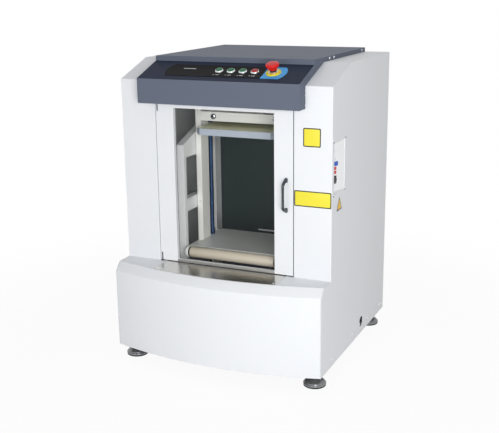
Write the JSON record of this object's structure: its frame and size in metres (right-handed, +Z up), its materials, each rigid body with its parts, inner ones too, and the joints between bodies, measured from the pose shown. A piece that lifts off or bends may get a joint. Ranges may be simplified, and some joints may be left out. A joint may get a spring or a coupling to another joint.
{
  "type": "clamping paint shaker cabinet",
  "caption": "Floor-standing cabinet with a sloped console, a framed window door and a rocking platform cradle with a powered clamp plate.",
  "frame": {"origin": "on the floor, under the middle of the cabinet's outline", "axes": "+Z up, +X to the right of the user, who stands at -Y"},
  "size_m": [0.7624, 0.772, 1.055],
  "materials": {
    "covers": "smooth light powder coat",
    "hood_paint": "slate grey powder coat",
    "frame_steel": "light grey paint",
    "base_steel": "black primer",
    "cradle_paint": "cream grey paint",
    "stainless": "brushed",
    "bright_steel": "bright plated",
    "dark_chrome": "dark plated",
    "clamp_steel": "passivated",
    "clear_pane": "clear acrylic",
    "seal_rubber": "matt black",
    "foot_metal": "dark plated pad",
    "roller_rubber": "beige rubber",
    "white_plastic": "moulded",
    "black_plastic": "moulded",
    "overlay_black": "printed film",
    "stop_blue": "printed film",
    "stop_yellow": "moulded",
    "stop_red": "moulded",
    "button_green": "moulded",
    "button_red": "moulded",
    "screw_blue": "blue",
    "belt_rubber": "moulded",
    "motor_paint": "blue grey enamel",
    "cast_grey": "painted casting"
  },
  "bodies": {
    "cabinet": {"base_frame": "base_steel", "floor_tray": "base_steel", "foot_pads": "foot_metal", "foot_stems": "bright_steel", "cabinet_posts": "frame_steel", "upper_frame": "frame_steel", "left_side_cover": "covers", "right_side_cover": "covers", "rear_cover": "covers", "lower_front_cover": "covers", "sill_plate": "stainless", "hood": "hood_paint", "cabinet_screws": "bright_steel", "console_overlay": "overlay_black", "stop_plate": "stop_blue", "button_housings": "bright_steel", "stop_ring": "stop_yellow", "service_pocket": "covers", "switch_housing": "black_plastic", "door_fittings": "bright_steel", "left_stand": "frame_steel", "right_stand": "frame_steel", "trunnion_bearings": "cast_grey", "shaft_supports": "cast_grey", "drive_motor": "motor_paint", "drive_belt": "belt_rubber", "control_enclosure": "frame_steel"},
    "door": {"door_frame": "covers", "door_window": "clear_pane", "window_seal": "seal_rubber", "door_pivot_pins": "bright_steel", "door_handle": "dark_chrome"},
    "cradle": {"cradle_uprights": "cradle_paint", "top_beam": "cradle_paint", "cradle_pins": "bright_steel", "lower_cradle_frame": "base_steel", "platform": "stainless", "roller_brackets": "frame_steel", "head_plate": "cradle_paint", "screw_collars": "screw_blue", "clamp_belt": "belt_rubber", "clamp_motor": "motor_paint"},
    "roller": {"feed_roller": "roller_rubber", "roller_end_caps": "white_plastic"},
    "clamp": {"clamp_plate": "clamp_steel", "clamp_carriage": "cradle_paint"},
    "left_screw": {"left_clamp_screw": "screw_blue"},
    "right_screw": {"right_clamp_screw": "screw_blue"},
    "clamp_drive": {"clamp_motor_pulley": "bright_steel"},
    "rod": {"connecting_rod": "cast_grey"},
    "crank": {"crank_shaft": "bright_steel", "flywheel": "cast_grey"},
    "motor_rotor": {"motor_pulley": "cast_grey"},
    "start_button": {"start_button": "button_green"},
    "clamp_button": {"clamp_button": "button_green"},
    "release_button": {"release_button": "button_green"},
    "stop_button": {"stop_button": "button_red"},
    "stop_plunger": {"stop_plunger": "black_plastic"},
    "stop_head": {"stop_head": "stop_red"},
    "main_switch": {"main_switch_rocker": "black_plastic"}
  },
  "joints": [
    {"name": "door_swing", "type": "hinge", "parent": "cabinet", "child": "door", "pos_m": [-0.243, -0.236, 0.63], "axis": [0, 0, -1], "range_deg": [0, 105]},
    {"name": "cradle_rock", "type": "hinge", "parent": "cabinet", "child": "cradle", "pos_m": [0, -0.039, 0.533], "axis": [1, 0, 0], "range_deg": [-4, 4]},
    {"name": "roller_spin", "type": "hinge", "parent": "cradle", "child": "roller", "pos_m": [0, -0.179, 0.376], "axis": [1, 0, 0], "continuous": true},
    {"name": "clamp_slide", "type": "slide", "parent": "cradle", "child": "clamp", "axis": [0, 0, 1], "range_m": [-0.3, 0.01]},
    {"name": "left_screw_turn", "type": "hinge", "parent": "cradle", "child": "left_screw", "pos_m": [-0.181, 0.029, 0.65], "axis": [0, 0, 1], "range_deg": [-5410, 190]},
    {"name": "right_screw_turn", "type": "hinge", "parent": "cradle", "child": "right_screw", "pos_m": [0.181, 0.029, 0.65], "axis": [0, 0, 1], "range_deg": [-5410, 190]},
    {"name": "clamp_drive_turn", "type": "hinge", "parent": "cradle", "child": "clamp_drive", "pos_m": [0, 0.029, 0.898], "axis": [0, 0, 1], "range_deg": [-5410, 190]},
    {"name": "rod_swing", "type": "hinge", "parent": "cradle", "child": "rod", "pos_m": [0, 0.111, 0.345], "axis": [1, 0, 0], "range_deg": [-9.5, 9.5]},
    {"name": "crank_spin", "type": "hinge", "parent": "cabinet", "child": "crank", "pos_m": [0.1, 0.231, 0.332], "axis": [1, 0, 0], "continuous": true},
    {"name": "motor_spin", "type": "hinge", "parent": "cabinet", "child": "motor_rotor", "pos_m": [0.1, 0.231, 0.172], "axis": [1, 0, 0], "continuous": true},
    {"name": "start_press", "type": "slide", "parent": "cabinet", "child": "start_button", "axis": [0, 0.34, -0.9404], "range_m": [0, 0.003], "stiffness_N_per_m": 400, "springref_m": -0.003},
    {"name": "clamp_press", "type": "slide", "parent": "cabinet", "child": "clamp_button", "axis": [0, 0.34, -0.9404], "range_m": [0, 0.003], "stiffness_N_per_m": 400, "springref_m": -0.003},
    {"name": "release_press", "type": "slide", "parent": "cabinet", "child": "release_button", "axis": [0, 0.34, -0.9404], "range_m": [0, 0.003], "stiffness_N_per_m": 400, "springref_m": -0.003},
    {"name": "stop_press", "type": "slide", "parent": "cabinet", "child": "stop_button", "axis": [0, 0.34, -0.9404], "range_m": [0, 0.003], "stiffness_N_per_m": 400, "springref_m": -0.003},
    {"name": "emergency_press", "type": "slide", "parent": "cabinet", "child": "stop_plunger", "axis": [0, 0.34, -0.9404], "range_m": [0, 0.005]},
    {"name": "emergency_twist", "type": "hinge", "parent": "stop_plunger", "child": "stop_head", "pos_m": [0.175, -0.22897, 1.03361], "axis": [0, -0.34, 0.9404], "range_deg": [0, 30], "stiffness_Nm_per_rad": 0.05},
    {"name": "main_switch_rock", "type": "hinge", "parent": "cabinet", "child": "main_switch", "pos_m": [0.36502, -0.17269, 0.676], "axis": [0.2554, 0.9668, 0], "range_deg": [-8, 8]}
  ],
  "couplings": [
    {"joint": "left_screw_turn", "follows": "clamp_slide", "rad_per_m": 314.16},
    {"joint": "right_screw_turn", "follows": "clamp_slide", "rad_per_m": 314.16},
    {"joint": "clamp_drive_turn", "follows": "clamp_slide", "rad_per_m": 314.16},
    {"joint": "rod_swing", "follows": "cradle_rock", "ratio": -2.25},
    {"joint": "motor_spin", "follows": "crank_spin", "ratio": 3.4194}
  ]
}
